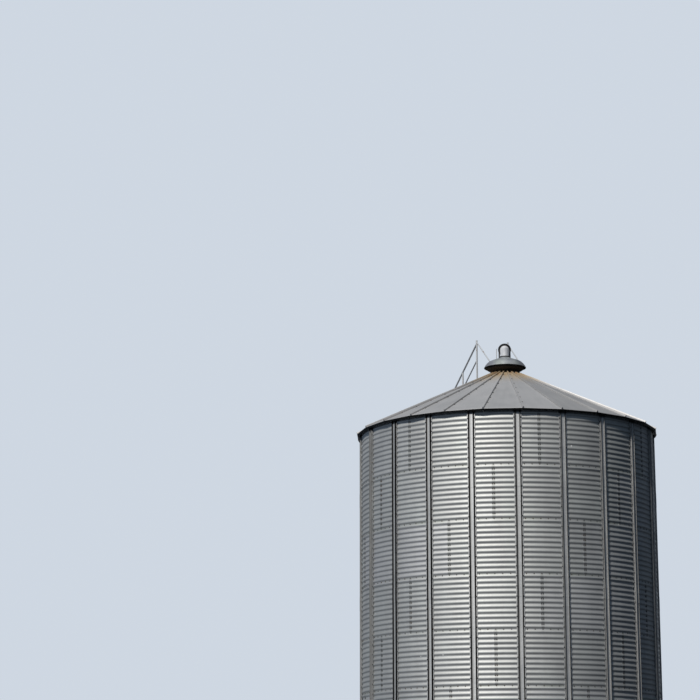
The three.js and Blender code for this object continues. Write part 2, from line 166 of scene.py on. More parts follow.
# Wall. Nine rings of seven corrugated galvanized sheets, each three bays wide and rolled to the
# curve. The upper ring laps over the lower one like a shingle, and the side laps step by one bay.
PITCH = 0.1016
DEPTH = 0.0127
SHEET = 0.0013
RINGS = 9
RING_WAVES = 11
RING_RISE = RING_WAVES * PITCH
SHEETS = 7
SHEET_BAYS = 3
BAYS = SHEETS * SHEET_BAYS
BAY = 2 * math.pi / BAYS
VALLEY = PITCH / 2
MID_RADIUS = 3.1775
RING_LAP = 0.0030
SIDE_LAP = 0.0015
SIDE_LAP_WIDTH = 0.075
LAP_PLACE = 0.47
ROWS_PER_PITCH = 8
COLUMNS_PER_BAY = 5


def around(radius, angle, height):
    """Points at a distance from the silo's axis. Angle 0 is the front and grows towards +X."""
    radius, angle, height = np.broadcast_arrays(radius, angle, height)
    return np.stack([radius * np.sin(angle), -radius * np.cos(angle), height], axis=-1)


def plate(outer, inner):
    """A closed sheet between two grids of points; rows go up, columns to the right as seen outside."""
    rows, columns = outer.shape[:2]
    index = np.arange(rows * columns).reshape(rows, columns)
    front = np.stack([index[:-1, :-1], index[:-1, 1:], index[1:, 1:], index[1:, :-1]], -1).reshape(-1, 4)
    rim = np.concatenate([index[0], index[1:, -1], index[-1, -2::-1], index[-2:0:-1, 0]])
    after = np.roll(rim, -1)
    back = rows * columns
    edge = np.stack([rim, rim + back, after + back, after], -1)
    points = np.concatenate([outer.reshape(-1, 3), inner.reshape(-1, 3)])
    return points, [front, front[:, ::-1] + back, edge]


def joined(solids):
    """Several solids as one mesh."""
    points, faces, start = [], [], 0
    for solid_points, solid_faces in solids:
        points.append(solid_points)
        faces += [block + start for block in solid_faces]
        start += len(solid_points)
    return np.concatenate(points), faces


def make_piece(name, solid, finish, slot, *nodes, crease=35):
    """A piece of the silo with smooth faces and sharp edges, standing for the named nodes."""
    points, faces = solid
    mesh = bpy.data.meshes.new(name)
    mesh.from_pydata(points.tolist(), [], [face for block in faces for face in block.tolist()])
    mesh.shade_smooth()
    mesh.set_sharp_from_angle(angle=math.radians(crease))
    mesh.materials.append(finish)
    piece = bpy.data.objects.new(name, mesh)
    scene.collection.objects.link(piece)
    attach(piece, "root")
    if nodes:
        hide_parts(*nodes)
    return piece


def give_tones(piece, tones):
    """Stores a tone at each point, by which one sheet is duller or brighter than the next."""
    values = np.array(tones, np.float32)
    piece.data.attributes.new("tone", "FLOAT", "POINT").data.foreach_set("value", values)


def seam_height(row):
    return VALLEY + row * RING_RISE


def wave(height):
    """How far the corrugation stands out from the middle of the sheet."""
    return -DEPTH / 2 * np.cos(2 * np.pi * (height - VALLEY) / PITCH)


def lap_angle(ring, sheet):
    """The middle of a side lap. From the eave down, each ring's laps are one bay further left."""
    shift = (ring - (RINGS - 1)) % SHEET_BAYS
    return (SHEET_BAYS * sheet + shift + LAP_PLACE) * BAY


def skin_radius(ring, angle, height):
    """The radius of a ring's outer face, which leans out to its foot and to its left edge."""
    across = ((angle - lap_angle(ring, 0)) / (SHEET_BAYS * BAY)) % 1
    up = (height - seam_height(ring) + VALLEY) / (RING_RISE + PITCH)
    return MID_RADIUS + wave(height) + RING_LAP * (1 - up) + SIDE_LAP * (1 - across)


def wall_sheet(ring, sheet):
    """One sheet, one corrugation higher than its ring and one lap wider than its bays."""
    lap = SIDE_LAP_WIDTH / MID_RADIUS
    first = lap_angle(ring, sheet) - lap / 2
    angles = first + np.arange(SHEET_BAYS * COLUMNS_PER_BAY + 1) * BAY / COLUMNS_PER_BAY
    angles = np.append(angles, first + SHEET_BAYS * BAY + lap)
    foot = seam_height(ring) - VALLEY
    heights = foot + np.arange((RING_WAVES + 1) * ROWS_PER_PITCH + 1) * PITCH / ROWS_PER_PITCH
    across = np.clip((angles - first) / (SHEET_BAYS * BAY), 0, 1)
    up = (heights - foot) / (RING_RISE + PITCH)
    leaning = wave(heights) + RING_LAP * (1 - up)
    radius = MID_RADIUS + leaning[:, None] + (SIDE_LAP * (1 - across))[None, :]
    return plate(around(radius, angles[None, :], heights[:, None]),
                 around(radius - SHEET, angles[None, :], heights[:, None]))


def new_finish(name):
    """A new material, and a signal that starts its shader tree."""
    material = bpy.data.materials.new(name)
    material.use_nodes = True
    return material, Signal(material.node_tree)


def coat(start, relief=None, depth=0.001, **sockets):
    """Joins signals or plain values to the shader; relief is the height of a bump."""
    shader = start.tree.nodes["Principled BSDF"]
    if relief:
        bump = start.node("ShaderNodeBump", {}, {"Height": relief, "Distance": depth}, "Normal")
        start.tree.links.new(bump.socket, shader.inputs["Normal"])
    for name, value in sockets.items():
        socket = shader.inputs[name.replace("_", " ")]
        if isinstance(value, Signal):
            start.tree.links.new(value.socket, socket)
        else:
            socket.default_value = value


def place(start):
    """Where a point of the surface is, in the silo's own frame."""
    return start.node("ShaderNodeNewGeometry", {}, {}, "Position")


def facing_up(start):
    """How far the surface faces up: 1 for a top face, 0 for a wall, -1 for an underside."""
    return axis(start.node("ShaderNodeNewGeometry", {}, {}, "Normal"), "Z")


def axis(where, name):
    return where.node("ShaderNodeSeparateXYZ", {}, {0: where}, name)


def bearing_of(where):
    """The angle round the silo's axis, 0 at the front and growing towards +X."""
    return where.math("ARCTAN2", axis(where, "X"), 0 - axis(where, "Y"))


def nearest(value, half):
    """How far a value is from the nearest multiple of twice the half."""
    return value.math("PINGPONG", value, half)


def scaled(where, x, y, z):
    return where.node("ShaderNodeVectorMath", {"operation": "MULTIPLY"}, {0: where, 1: (x, y, z)})


def noise(where, scale, detail=3.0):
    return where.node("ShaderNodeTexNoise", {}, {"Vector": where, "Scale": scale, "Detail": detail})


def cells(where, scale, output="Color"):
    """Flat patches with a random value each, as the crystals of a zinc coat."""
    return where.node("ShaderNodeTexVoronoi", {}, {"Vector": where, "Scale": scale}, output)


def spangle(where):
    """The crystal pattern of hot-dip zinc, 0 to 1, patches about 15 mm across."""
    coarse = axis(cells(where, 65), "X")
    fine = axis(cells(where, 150), "Y")
    return coarse * 0.6 + fine * 0.4


def streaks(where):
    """Rain marks that run down the wall, 0 to 1."""
    narrow = noise(scaled(where, 9, 9, 0.35), 1, 4)
    wide = noise(scaled(where, 2.2, 2.2, 0.18), 1, 3)
    return narrow * 0.5 + wide * 0.5


wall_finish, start = new_finish("corrugated_zinc")
where = place(start)
height = axis(where, "Z")
tone = start.node("ShaderNodeAttribute", {"attribute_name": "tone"}, {}, "Fac")
grain = spangle(where)
runs = streaks(where)
cloud = noise(where, 1.4, 4)
rings_up = (height - VALLEY) / RING_RISE
at_seam = 1 - ramp(nearest(rings_up, 0.5), 0.0, 0.035)
bays_round = bearing_of(where) / BAY
at_upright = 1 - ramp(nearest(bays_round, 0.5), 0.075, 0.100)
stepped = bays_round - (rings_up.math("FLOOR", rings_up) + 1) % SHEET_BAYS - LAP_PLACE
at_lap = 1 - ramp(nearest(stepped, SHEET_BAYS / 2), 0.020, 0.045)
light = grain * 0.12 + runs * 0.42 + cloud * 0.42 + tone * 0.14
tinted = blend(tone * 0.7 + noise(where, 0.8, 2) * 0.3, (0.64, 0.685, 0.665, 1), (0.68, 0.68, 0.71, 1))
zinc = blend(ramp(light, 0.30, 0.80), (0.52, 0.525, 0.53, 1), tinted)
slope = facing_up(start)
# Painted shade: the down-facing flank of each corrugation is painted darker, as it lies in shade.
down_flank_shade = ramp(slope, -0.345, -0.245, 1.0, 0.0)
# The up-facing flanks are painted darker to dim the key light's highlight on them.
up_flank_dimmed = blend(ramp(slope, 0.08, 0.34) * 0.48, zinc, (0.40, 0.40, 0.39, 1))
down_flank_shaded = blend(down_flank_shade * 0.60, up_flank_dimmed, (0.14, 0.14, 0.137, 1))
# Painted shade with some dirt beside each upright. The side laps are dark joints, darker still on the
# down-facing flanks where the painted shade lies.
shaded_and_soiled = blend(at_upright * (0.18 + down_flank_shade * 0.4), down_flank_shaded, (0.05, 0.052, 0.05, 1))
shaded_and_soiled = blend(at_lap * (0.20 + down_flank_shade * 0.60), shaded_and_soiled, (0.04, 0.042, 0.045, 1))
# A painted shadow darkens the top of the wall under the eave.
shaded_and_soiled = blend(ramp(height, 10.03, 10.09) * 0.3, shaded_and_soiled, (0.03, 0.03, 0.03, 1))
damp = blend(at_seam * ramp(cloud, 0.4, 0.7) * 0.5, shaded_and_soiled, (0.22, 0.25, 0.20, 1))
spots = ramp(cells(where, 2.6, "Distance"), 0.030, 0.045, 1.0, 0.0) * ramp(noise(where, 3.1), 0.52, 0.60)
spotted = blend(spots, damp, (0.92, 0.92, 0.90, 1))
coat(start, relief=noise(where, 2.0, 2) + grain * 0.02, depth=0.006, Base_Color=spotted,
     Roughness=0.545 + grain * 0.08 + down_flank_shade * 0.08 + cloud * 0.10, Metallic=0.85 - spots * 0.75)

chance = np.random.RandomState(7)
wall_strips = [f"wall_strip_{n + 1}" for n in range(SHEETS)]
for ring in range(RINGS):
    sheets = [wall_sheet(ring, sheet) for sheet in range(SHEETS)]
    piece = make_piece(f"wall_ring_{ring + 1}", joined(sheets), wall_finish, "sheet_steel", *wall_strips)
    give_tones(piece, np.repeat(chance.uniform(0, 1, SHEETS), [len(points) for points, faces in sheets]))

# Uprights. Twenty-one stiffeners with two narrow ridges and a flat valley, roll-formed from
# galvanized strip in lengths of two rings. A short cover laps each joint, and bolts go through the
# flanges into the crests of the wall.
UPRIGHT_BACK = 3.18937
UPRIGHT_TOP = 10.118
JOINT_DROP = 0.32
UPRIGHT_JOINTS = [seam_height(row) - JOINT_DROP for row in (2, 4, 6, 8)]
UPRIGHT_FACE = [(0.084, 0.003), (0.058, 0.003), (0.052, 0.030), (0.042, 0.030), (0.037, 0.005)]
UPRIGHT_INSIDE = [(0.084, 0.000), (0.055, 0.000), (0.049, 0.027), (0.045, 0.027), (0.040, 0.002)]
UPRIGHT_STEEL = 0.003
UPRIGHT_BEND = 0.004
JOINT_GAP = 0.004
COVER_LENGTH = 0.30
COVER_STEEL = 0.0025


def softened(outline, radius, steps=3):
    """An outline with each corner rounded off, as a bend in sheet steel is."""
    made = []
    count = len(outline)
    for i in range(count):
        before, corner, after = (np.array(outline[(i + k) % count], float) for k in (-1, 0, 1))
        back, ahead = before - corner, after - corner
        cut = min(radius, 0.42 * np.linalg.norm(back), 0.42 * np.linalg.norm(ahead))
        first = corner + back / np.linalg.norm(back) * cut
        last = corner + ahead / np.linalg.norm(ahead) * cut
        for t in np.linspace(0, 1, steps):
            made.append((1 - t) ** 2 * first + 2 * t * (1 - t) * corner + t * t * last)
    return np.array(made)


def upright_outline(out, steel):
    """The folded section, counter-clockwise from above; y is outwards, so -y in the frame."""
    half = [(x, y + out) for x, y in UPRIGHT_FACE]
    front = [(-x, y) for x, y in half] + half[::-1]
    inner = [(x, y + out + UPRIGHT_STEEL - steel) for x, y in UPRIGHT_INSIDE]
    back = inner + [(-x, y) for x, y in inner[::-1]]
    return softened([(x, -y) for x, y in front + back], UPRIGHT_BEND)


def prism_faces(count):
    """The sides and both ends of a solid that runs from one outline to another."""
    ring = np.arange(count)
    after = np.roll(ring, -1)
    sides = np.stack([ring, after, after + count, ring + count], -1)
    return [sides, ring[None, ::-1], ring[None, :] + count]


def extruded(outline, low, high):
    """An outline in plan, drawn up from one height to another."""
    ends = [np.column_stack([outline, np.full(len(outline), level)]) for level in (low, high)]
    return np.concatenate(ends), prism_faces(len(outline))


def band(value, start, full, fade, end):
    """1 where the value is from full to fade, falling smoothly to 0 at start and at end."""
    return ramp(value, start, full) * ramp(value, fade, end, 1.0, 0.0)


upright_finish, start = new_finish("upright_zinc")
where = place(start)
sideways = axis(start.node("ShaderNodeTexCoord", {}, {}, "Object"), "X")
grain = spangle(where)
runs = noise(scaled(where, 16, 16, 0.4), 1, 4)
cloud = noise(where, 1.8, 4)
# Painted shade with some dirt: the ridges, their slopes and the root of each fold are painted dark
# where the ridges' shadows and recesses fall, about a third less on the uprights at the far left.
left_root = band(sideways, -0.0700, -0.0650, -0.0590, -0.0575)
left_slope = band(sideways, -0.0590, -0.0575, -0.0530, -0.0515)
left_ridge = band(sideways, -0.0530, -0.0515, -0.0350, -0.0300)
valley = band(sideways, -0.0350, -0.0300, -0.0200, 0.0)
right_slope = band(sideways, 0.0360, 0.0375, 0.0430, 0.0450)
right_ridge = band(sideways, 0.0430, 0.0450, 0.0660, 0.0720)
shade_and_dirt = left_root * 0.9 + left_ridge + right_ridge + (left_slope + right_slope) * 0.52 + valley * 0.3
far_left_uprights = ramp(axis(where, "X"), -2.87, -2.67, 1.0, 0.0)
shade_and_dirt = shade_and_dirt * (1 - far_left_uprights * 0.36)
# A painted shadow darkens the uprights' tops under the eave.
under_eave = ramp(axis(where, "Z"), 10.02, 10.08)
dulled = ramp(grain * 0.2 + runs * 0.45 + cloud * 0.35, 0.3, 0.7)
zinc = blend(dulled, (0.61, 0.62, 0.63, 1), (0.83, 0.835, 0.835, 1))
shaded_and_dirty = blend(shade_and_dirt * 0.98, zinc, (0.006, 0.006, 0.007, 1))
shaded_and_dirty = blend(under_eave * 0.9, shaded_and_dirty, (0.02, 0.02, 0.02, 1))
coat(start, relief=noise(where, 3.0, 2) + grain * 0.03, depth=0.003, Base_Color=shaded_and_dirty,
     Roughness=0.54 + grain * 0.10 + shade_and_dirt * 0.25, Metallic=0.92)

lengths = [0.0] + UPRIGHT_JOINTS + [UPRIGHT_TOP]
section = upright_outline(0, UPRIGHT_STEEL)
cover = upright_outline(COVER_STEEL, COVER_STEEL)
upright_solids = []
for low, high in zip(lengths[:-1], lengths[1:]):
    foot = low + (JOINT_GAP if low else 0)
    upright_solids.append(extruded(section, foot, high))
for joint in UPRIGHT_JOINTS:
    upright_solids.append(extruded(cover, joint - COVER_LENGTH / 2, joint + COVER_LENGTH / 2))
points, faces = joined(upright_solids)
upright_solid = (points - [0, UPRIGHT_BACK, 0], faces)
for bay in range(BAYS):
    name = f"{bay + 1:02d}"
    piece = make_piece(f"upright_{name}", upright_solid, upright_finish, "stiffener_steel",
                       f"stiffener_{name}", crease=15)
    piece.rotation_euler = (0, 0, bay * BAY)

# Bolts of the wall. Hexagon heads on round sealing washers: rows along each ring seam, double rows
# down each side lap, and one on each flange of the uprights at every second crest.
WASHER_RADIUS = 0.0130
WASHER_TOP = 0.0030
HEAD_RADIUS = 0.0095
HEAD_TOP = 0.0085
BOLT_SUNK = 0.001
EDGE_DROP = 0.0008
EDGE_INSET = 0.0012
SEAM_SPACES = 6
SEAM_SHIFT = -0.03
LAP_BOLT_OFFSET = 0.019
FLANGE_BOLT_OFFSET = 0.071
FLANGE_BOLTS = 49


def turned_by(points, angle):
    """Points turned about the silo's axis."""
    cosine, sine = math.cos(angle), math.sin(angle)
    return points @ np.array([[cosine, sine, 0], [-sine, cosine, 0], [0, 0, 1]])


def bolts(places, outward):
    """One mesh of bolts, a place and an outward direction for each."""
    shape, faces = [], []
    washer = (8, WASHER_RADIUS, -BOLT_SUNK, WASHER_TOP)
    head = (6, HEAD_RADIUS, WASHER_TOP, HEAD_TOP)
    for sides, radius, foot, top in (washer, head):
        turn = 2 * np.pi * np.arange(sides) / sides
        start = sum(len(part) for part in shape)
        for level, reach in ((foot, radius), (top - EDGE_DROP, radius), (top, radius - EDGE_INSET)):
            outline = np.column_stack([reach * np.cos(turn), reach * np.sin(turn)])
            shape.append(np.column_stack([outline, np.full(sides, level)]))
        ring = np.arange(sides) + start
        after = np.roll(ring, -1)
        for step in (0, sides):
            faces.append(np.stack([ring, after, after + sides, ring + sides], -1) + step)
        faces += [ring[None, ::-1], ring[None, :] + 2 * sides]
    shape = np.concatenate(shape)
    places, outward = np.asarray(places, float), np.asarray(outward, float)
    out = outward / np.linalg.norm(outward, axis=1, keepdims=True)
    side = np.cross([0.0, 0.0, 1.0], out)
    side /= np.linalg.norm(side, axis=1, keepdims=True)
    spin = np.random.RandomState(len(places)).uniform(0, 2 * np.pi, len(places))[:, None]
    first = side * np.cos(spin) + np.cross(out, side) * np.sin(spin)
    second = np.cross(out, first)
    points = places[:, None, :]
    for i, direction in enumerate((first, second, out)):
        points = points + shape[None, :, i:i + 1] * direction[:, None, :]
    starts = (np.arange(len(places)) * len(shape))[:, None, None]
    return points.reshape(-1, 3), [(block[None] + starts).reshape(-1, block.shape[1]) for block in faces]


def bolt_coat(name, dark, pale, rust, patches, share, rough, metal):
    """Mottled steel, rusted in patches; these are a noise's scale and the two ends of its ramp."""
    finish, start = new_finish(name)
    where = place(start)
    mottle = noise(where, 45, 2)
    scale, low, high = patches
    rusty = ramp(noise(where, scale, 3), low, high)
    steel = blend(mottle, dark, pale)
    coat(start, relief=mottle, depth=0.0006, Base_Color=blend(rusty * share, steel, rust),
         Roughness=rough + mottle * 0.2, Metallic=metal)
    return finish


bolt_finish = bolt_coat("weathered_bolts", dark=(0.018, 0.018, 0.019, 1), pale=(0.055, 0.056, 0.058, 1),
                        rust=(0.14, 0.075, 0.035, 1), patches=(1.3, 0.50, 0.68), share=0.5,
                        rough=0.65, metal=0.10)
plated_finish = bolt_coat("plated_bolts", dark=(0.06, 0.061, 0.062, 1), pale=(0.17, 0.172, 0.175, 1),
                          rust=(0.13, 0.075, 0.04, 1), patches=(1.1, 0.46, 0.66), share=0.6,
                          rough=0.60, metal=0.35)

places, outward = [], []
for row in range(RINGS + 1):
    ring = min(row, RINGS - 1)
    height = seam_height(row)
    for bay in range(BAYS):
        for i in range(1, SEAM_SPACES):
            angle = (bay + (i / SEAM_SPACES + SEAM_SHIFT)) * BAY
            places.append(around(skin_radius(ring, angle, height), angle, height))
            outward.append(around(1.0, angle, 0.0))
make_piece("seam_bolts", bolts(places, outward), plated_finish, "dark_steel")

places, outward = [], []
for ring in range(RINGS):
    for sheet in range(SHEETS):
        for row in range(1, RING_WAVES):
            for side in (-1, 1):
                angle = lap_angle(ring, sheet) + side * LAP_BOLT_OFFSET / MID_RADIUS
                height = seam_height(ring) + row * PITCH
                over = skin_radius(ring, lap_angle(ring, sheet) + 0.001, height)
                places.append(around(over, angle, height))
                outward.append(around(1.0, angle, 0.0))
make_piece("lap_bolts", bolts(places, outward), bolt_finish, "dark_steel")

places, outward = [], []
for bay in range(BAYS):
    for row in range(1, FLANGE_BOLTS + 1):
        for side in (-1, 1):
            spot = np.array([side * FLANGE_BOLT_OFFSET, -UPRIGHT_BACK - UPRIGHT_STEEL, row * 2 * PITCH])
            places.append(turned_by(spot, bay * BAY))
            outward.append(around(1.0, bay * BAY, 0.0))
make_piece("upright_bolts", bolts(places, outward), bolt_finish, "dark_steel")

# Roof. Twenty-five flat galvanized panels, each bent down at the eave into a drip lip. A folded rib
# stands along one edge of each panel and covers the joint to the next.
PANELS = 25
SECTOR_PANELS = 5
PANEL = 2 * math.pi / PANELS
FIRST_RIB = math.radians(1.8)
EAVE_RADIUS = 3.2855
PEAK_RADIUS = 0.2665
RIB_END = 0.290
FALL = math.tan(math.radians(25))
LEAN = math.atan(FALL / math.cos(PANEL / 2))
EAVE_TOP = 10.1331
LIP = np.array([(0.024, 0.0376), (0.007, 0.010), (0.001, 0.003)])
LIP_INSET = 0.006
PANEL_INSET = 0.0008
PANEL_ROWS = 40
PANEL_COLUMNS = 13
ROOF_SHEET = 0.0016
RIB_BASE = 0.034
RIB_CREST = 0.022
RIB_HEIGHT = 0.032
RIB_START = 0.002
ROOF_BOLT_OFFSET = 0.046
ROOF_BOLT_PLACES = np.arange(0.55, 3.2, 0.38)


def roof_height(radius):
    """The top face of the panels, measured along a rib."""
    return EAVE_TOP + (EAVE_RADIUS - radius) * FALL


def square_to_panel(left):
    """The direction square to the panel whose left edge is at an angle."""
    return around(math.sin(LEAN), left + PANEL / 2, math.cos(LEAN))


def roof_panel(number, waves):
    """One panel with its lip; waves are the small dents that a flat sheet has."""
    left = FIRST_RIB + number * PANEL
    flat = np.linspace(EAVE_RADIUS - 0.005, PEAK_RADIUS, PANEL_ROWS)
    reach = np.concatenate([EAVE_RADIUS - LIP[:, 0], flat])
    level = np.concatenate([EAVE_TOP - LIP[:, 1], roof_height(flat)])
    in_lip = np.arange(len(reach)) < len(LIP)
    inset = np.where(in_lip, LIP_INSET, PANEL_INSET)
    share = np.linspace(0, 1, PANEL_COLUMNS)
    start = around(reach, left, level)[:, None, :]
    end = around(reach, left + PANEL, level)[:, None, :]
    width = np.linalg.norm(end - start, axis=2)
    spread = (inset[:, None] / width) + (1 - 2 * inset[:, None] / width) * share[None, :]
    outer = start + (end - start) * spread[:, :, None]
    out = around(1.0, left + PANEL / 2, 0.0)
    up = square_to_panel(left)
    run = reach[:, None]
    dents = sum(size * np.sin(run * a + spread * b + c) for size, a, b, c in waves)
    held = np.sin(np.pi * spread) * np.clip((EAVE_RADIUS - run) / 0.3, 0, 1)
    outer = outer - up * (np.abs(dents) * held)[:, :, None]
    inward = np.where(in_lip[:, None], -out[None, :], -up[None, :])
    inner = outer + inward[:, None, :] * ROOF_SHEET
    return plate(outer, inner)


def bar(outline, start, end, up):
    """An outline drawn straight from start to end, its y axis towards up."""
    along = (end - start) / np.linalg.norm(end - start)
    side = np.cross(up, along)
    side /= np.linalg.norm(side)
    above = np.cross(along, side)
    ends = [np.asarray(point) + outline[:, :1] * side + outline[:, 1:] * above for point in (start, end)]
    return np.concatenate(ends), prism_faces(len(outline))


def roof_rib(number):
    """The folded rib over a panel's left edge, from the eave up to the collar."""
    angle = FIRST_RIB + number * PANEL
    slant = (RIB_BASE - RIB_CREST) / 2
    fold = softened([(0.0, -0.001), (0.0, 0.004), (-slant, RIB_HEIGHT),
                     (slant - RIB_BASE, RIB_HEIGHT), (-RIB_BASE, 0.004), (-RIB_BASE, -0.001)], 0.004)
    start = around(EAVE_RADIUS - RIB_START, angle, roof_height(EAVE_RADIUS - RIB_START))
    end = around(RIB_END, angle, roof_height(RIB_END))
    return bar(fold, start, end, square_to_panel(angle))


roof_finish, start = new_finish("roof_zinc")
where = place(start)
plan_place = scaled(where, 1, 1, 0)
radius = plan_place.node("ShaderNodeVectorMath", {"operation": "LENGTH"}, {0: plan_place}, "Value")
tone = start.node("ShaderNodeAttribute", {"attribute_name": "tone"}, {}, "Fac")
grain = spangle(where)
cloud = noise(where, 1.6, 5)
fan = start.node("ShaderNodeCombineXYZ", {}, {0: bearing_of(where) * 11, 1: radius * 0.5, 2: 0.0})
runs = noise(fan, 2.0, 5)
bright = ramp(cloud * 0.45 + runs * 0.35 + tone * 0.30, 0.30, 0.80)
zinc = blend(bright, (0.385, 0.382, 0.385, 1), (0.49, 0.485, 0.49, 1))
tan_reach = radius - runs * 0.9
tanned = blend(1 - ramp(tan_reach, -0.12, 0.85), zinc, (0.37, 0.29, 0.19, 1))
rust = (1 - ramp(tan_reach, -0.10, 0.22)) * ramp(noise(where, 7, 4), 0.40, 0.62)
rusted_and_lip_shaded = blend(rust * 0.7, tanned, (0.34, 0.20, 0.10, 1))
# Painted shade: the drip lip is painted near black, as it lies in shade.
lip = 1 - ramp(axis(where, "Z"), EAVE_TOP - 0.012, EAVE_TOP - 0.004)
rusted_and_lip_shaded = blend(lip * 0.95, rusted_and_lip_shaded, (0.016, 0.015, 0.014, 1))
coat(start, relief=cloud + grain * 0.03, depth=0.004, Base_Color=rusted_and_lip_shaded,
     Roughness=0.50 + grain * 0.08 + cloud * 0.12, Metallic=0.62 - (1 - ramp(tan_reach, -0.12, 0.75)) * 0.4)

chance = np.random.RandomState(11)
wave_ranges = ((0.0006, 0.0018), (2, 6), (3, 7), (0, 6))
for sector in range(PANELS // SECTOR_PANELS):
    solids, tones = [], []
    for number in range(SECTOR_PANELS * sector, SECTOR_PANELS * (sector + 1)):
        waves = [[chance.uniform(low, high) for low, high in wave_ranges] for _ in range(3)]
        pair = [roof_panel(number, waves), roof_rib(number)]
        solids += pair
        tones += [chance.uniform(0, 1)] * sum(len(points) for points, faces in pair)
    piece = make_piece(f"roof_panels_{sector + 1}", joined(solids), roof_finish, "roof_steel",
                       f"roof_sector_{sector + 1}")
    give_tones(piece, tones)

places, outward = [], []
for number in range(PANELS):
    angle = FIRST_RIB + number * PANEL
    up = square_to_panel(angle)
    across = around(1.0, angle + math.pi / 2, 0.0)
    for radius in ROOF_BOLT_PLACES:
        places.append(around(radius, angle, roof_height(radius)) + across * ROOF_BOLT_OFFSET + up * 0.0005)
        outward.append(up)
make_piece("roof_bolts", bolts(places, outward), bolt_finish, "dark_steel")

# Collar. A rolled ring at the peak with a flange under the panels' upper ends. It flares out over
# the ribs into an upright ring that carries the hood. Its near-black colour is painted shade from the
# hood, on patches of rust.
COLLAR_RADIUS = 0.260
COLLAR_STEEL = 0.003
UNDER_PANELS = 0.0062
FLANGE_RADIUS = 0.340
FLARE_RADIUS = 0.400
FLARE_TOP = 11.632
RING_TOP = 11.757


def turned(profile, segments, phase=0.0):
    """A closed ring turned about the silo's axis from a closed profile of (radius, height) points."""
    profile = np.asarray(profile, float)
    angles = phase + 2 * np.pi * np.arange(segments) / segments
    points = around(profile[None, :, 0], angles[:, None], profile[None, :, 1])
    index = np.arange(segments * len(profile)).reshape(segments, len(profile))
    right = np.roll(index, -1, axis=0)
    faces = np.stack([index, right, np.roll(right, -1, axis=1), np.roll(index, -1, axis=1)], -1)
    return points.reshape(-1, 3), [faces.reshape(-1, 4)]


def rusty_finish(name, bare, amount, shade=(0.115, 0.052, 0.022, 1), metal=0.8):
    """Galvanized steel that has rusted through in patches; amount 1 is rust all over."""
    finish, start = new_finish(name)
    where = place(start)
    patch = noise(where, 6, 6)
    fine = noise(where, 40, 3)
    mask = ramp(patch * 0.7 + fine * 0.3, 0.62 - amount * 0.35, 0.72 - amount * 0.35)
    rust = blend(fine, shade, (shade[0] * 2.2, shade[1] * 2.4, shade[2] * 2.6, 1))
    metallic = metal - mask * metal * 0.9
    coat(start, relief=fine * mask + patch * 0.2, depth=0.002, Base_Color=blend(mask, bare, rust),
         Roughness=0.48 + mask * 0.35, Metallic=metallic)
    return finish


# Painted shade: the collar is painted near black, as it lies in the hood's shade.
shaded_collar_finish = rusty_finish("rusty_shaded_collar", (0.03, 0.028, 0.026, 1), 0.75, (0.016, 0.011, 0.008, 1))
throat = roof_height(COLLAR_RADIUS)
flange = roof_height(FLANGE_RADIUS) - UNDER_PANELS
make_piece("collar", turned([
    (COLLAR_RADIUS - COLLAR_STEEL, throat - 0.0095),
    (FLANGE_RADIUS, flange - COLLAR_STEEL),
    (FLANGE_RADIUS, flange),
    (COLLAR_RADIUS, throat - UNDER_PANELS),
    (COLLAR_RADIUS, throat + 0.0010),
    (FLARE_RADIUS, FLARE_TOP),
    (FLARE_RADIUS, RING_TOP - 0.014),
    (FLARE_RADIUS + 0.003, RING_TOP - 0.011),
    (FLARE_RADIUS, RING_TOP - 0.008),
    (FLARE_RADIUS, RING_TOP),
    (FLARE_RADIUS - COLLAR_STEEL, RING_TOP),
    (FLARE_RADIUS - COLLAR_STEEL, FLARE_TOP + 0.002),
    (COLLAR_RADIUS - COLLAR_STEEL, throat + 0.003),
], 3 * PANELS, FIRST_RIB), shaded_collar_finish, "rusty_steel", "roof_collar")

# Hood. A lid spun from sheet, with a round shoulder above its rim, a shallow cone and a short neck
# where the inlet pipe enters.
HOOD_RADIUS = 0.463
HOOD_RIM = 11.668
HOOD_SHOULDER = 0.265
HOOD_ANGLES = np.radians(np.linspace(70, 20, 12))
HOOD_STEEL = 0.004


def hood_height(radius):
    """The hood's top face: a round shoulder up from the rim, then a cone of 20 degrees."""
    steep, shallow = HOOD_ANGLES[0], HOOD_ANGLES[-1]
    bend = HOOD_RADIUS - HOOD_SHOULDER * (math.sin(steep) - math.sin(shallow))
    if radius < bend:
        shoulder_rise = HOOD_SHOULDER * (math.cos(shallow) - math.cos(steep))
        return HOOD_RIM + shoulder_rise + (bend - radius) * math.tan(shallow)
    angle = math.asin(math.sin(steep) - (HOOD_RADIUS - radius) / HOOD_SHOULDER)
    return HOOD_RIM + HOOD_SHOULDER * (math.cos(angle) - math.cos(steep))


HOOD_NECK = [(0.130, 11.8905), (0.116, 11.8985), (0.108, 11.9065), (0.105, 11.9110)]
shoulder = HOOD_RADIUS - HOOD_SHOULDER * (math.sin(HOOD_ANGLES[0]) - np.sin(HOOD_ANGLES))
hood_skin = [(radius, hood_height(radius)) for radius in [*shoulder, 0.250, 0.200, 0.150]] + HOOD_NECK


def shell(skin, steel, segments):
    """A thin turned shell: the skin's points from the rim inwards, and the same line one steel in."""
    skin = np.asarray(skin, float)
    along = np.gradient(skin, axis=0)
    along /= np.linalg.norm(along, axis=1, keepdims=True)
    inner = skin + np.column_stack([-along[:, 1], along[:, 0]]) * steel
    return turned(np.concatenate([skin, inner[::-1]]), segments)


hood_finish, start = new_finish("pale_zinc")
where = place(start)
grain = spangle(where)
cloud = noise(where, 5, 5)
fine = noise(where, 28, 3)
zinc = blend(ramp(cloud, 0.3, 0.7), (0.195, 0.205, 0.235, 1), (0.345, 0.355, 0.395, 1))
